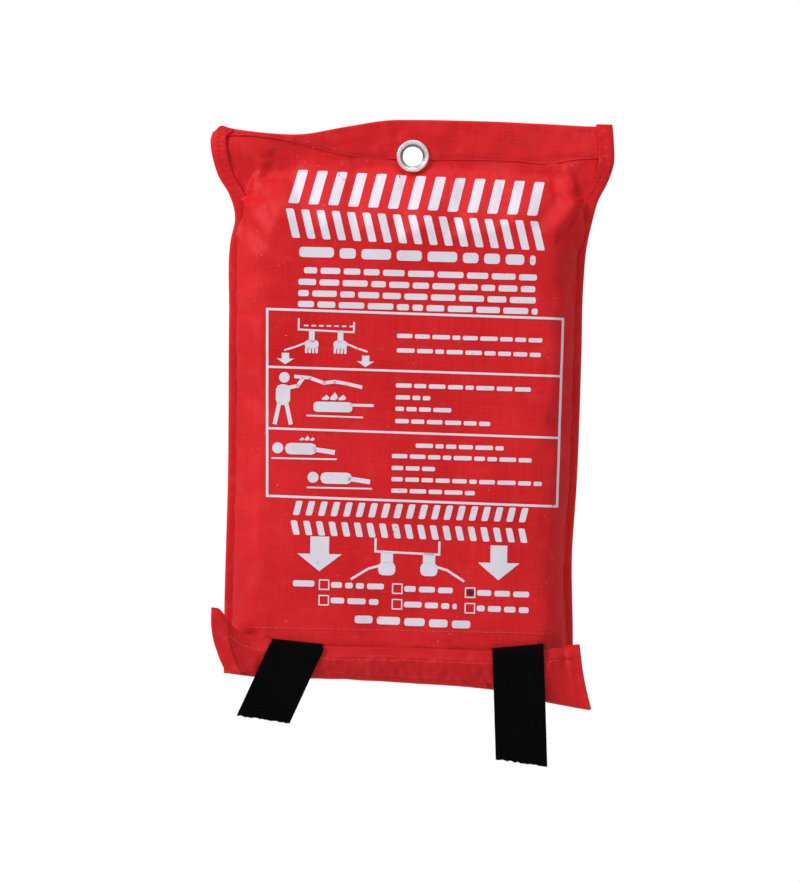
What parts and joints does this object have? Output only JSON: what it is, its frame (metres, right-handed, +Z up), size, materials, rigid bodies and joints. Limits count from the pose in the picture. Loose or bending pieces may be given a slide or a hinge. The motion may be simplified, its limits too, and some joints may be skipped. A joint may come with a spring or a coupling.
{
  "type": "fire blanket in wall pouch",
  "caption": "Red soft wall pouch with an eyelet, holding a folded glass-cloth fire blanket; two black webbing tapes hang over the bottom flap and pull it out downwards.",
  "frame": {"origin": "centre of the eyelet's hole, at mid thickness of the header", "axes": "+Z up the hanging pouch, front faces -Y, the back that lies on the wall faces +Y, +X to the viewer's right"},
  "size_m": [0.2002, 0.0284, 0.3194],
  "materials": {
    "red_cloth": "coated woven polyester, satin",
    "red_binding": "satin bias tape",
    "red_pile": "hook-and-loop pile, matt",
    "red_thread": "sewing thread",
    "black_webbing": "woven polyester webbing, matt",
    "black_thread": "sewing thread",
    "glass_cloth": "woven glass fibre, satin",
    "bright_nickel": "bright nickel plate",
    "white_ink": "screen-print ink, matt",
    "black_ink": "screen-print ink, matt"
  },
  "bodies": {
    "pouch": {"back_panel": "red_cloth", "front_panel": "red_cloth", "left_binding": "red_binding", "right_binding": "red_binding", "left_side_seam": "red_thread", "right_side_seam": "red_thread", "header_seam_left": "red_thread", "header_seam_right": "red_thread", "eyelet_flange": "bright_nickel", "eyelet_washer": "bright_nickel", "loop_strip": "red_pile", "loop_strip_seam": "red_thread"},
    "flap_base": {"closure_flap_base": "red_cloth"},
    "flap_lip": {"closure_flap_lip": "red_cloth", "hook_strip": "red_pile", "flap_left_binding": "red_binding", "flap_right_binding": "red_binding", "flap_hem_seam": "red_thread"},
    "blanket": {"folded_blanket": "glass_cloth", "left_tape_anchor": "black_webbing", "left_tape_stitching": "black_thread", "right_tape_anchor": "black_webbing", "right_tape_stitching": "black_thread"},
    "left_riser": {"left_tape_riser": "black_webbing"},
    "left_fold": {"left_tape_fold": "black_webbing"},
    "left_leg": {"left_tape_leg": "black_webbing"},
    "right_riser": {"right_tape_riser": "black_webbing"},
    "right_fold": {"right_tape_fold": "black_webbing"},
    "right_leg": {"right_tape_leg": "black_webbing"}
  },
  "joints": [
    {"name": "blanket_pull", "type": "slide", "parent": "pouch", "child": "blanket", "axis": [0, 0, -1], "range_m": [0, 0.215], "deforming": ["closure_flap_base", "closure_flap_lip", "hook_strip", "flap_left_binding", "flap_right_binding", "flap_hem_seam"]},
    {"name": "flap_open", "type": "hinge", "parent": "pouch", "child": "flap_base", "pos_m": [0, 0.0027, -0.2613], "axis": [1, 0, 0], "range_deg": [0, 90]},
    {"name": "flap_unfold", "type": "hinge", "parent": "flap_base", "child": "flap_lip", "pos_m": [0, -0.0224, -0.2613], "axis": [1, 0, 0], "range_deg": [0, 90]},
    {"name": "left_tape_turn", "type": "hinge", "parent": "blanket", "child": "left_riser", "pos_m": [-0.0515, -0.0197, -0.257], "axis": [1, 0, 0], "range_deg": [0, 180]},
    {"name": "left_tape_unfold", "type": "hinge", "parent": "left_riser", "child": "left_fold", "pos_m": [-0.0515, -0.0197, -0.2405], "axis": [-1, 0, 0], "range_deg": [0, 180]},
    {"name": "left_tape_lift", "type": "hinge", "parent": "left_fold", "child": "left_leg", "pos_m": [-0.0515, -0.0245, -0.2405], "axis": [-1, 0, 0], "range_deg": [0, 160]},
    {"name": "right_tape_turn", "type": "hinge", "parent": "blanket", "child": "right_riser", "pos_m": [0.0562, -0.0197, -0.257], "axis": [1, 0, 0], "range_deg": [0, 180]},
    {"name": "right_tape_unfold", "type": "hinge", "parent": "right_riser", "child": "right_fold", "pos_m": [0.0562, -0.0197, -0.2405], "axis": [-1, 0, 0], "range_deg": [0, 180]},
    {"name": "right_tape_lift", "type": "hinge", "parent": "right_fold", "child": "right_leg", "pos_m": [0.0562, -0.0245, -0.2405], "axis": [-1, 0, 0], "range_deg": [0, 160]}
  ],
  "couplings": [
    {"joint": "flap_open", "follows": "blanket_pull", "rad_per_m": 7.304},
    {"joint": "flap_unfold", "follows": "blanket_pull", "rad_per_m": 7.304},
    {"joint": "left_tape_turn", "follows": "blanket_pull", "rad_per_m": 14.609},
    {"joint": "left_tape_unfold", "follows": "blanket_pull", "rad_per_m": 14.609},
    {"joint": "right_tape_turn", "follows": "blanket_pull", "rad_per_m": 14.609},
    {"joint": "right_tape_unfold", "follows": "blanket_pull", "rad_per_m": 14.609}
  ]
}
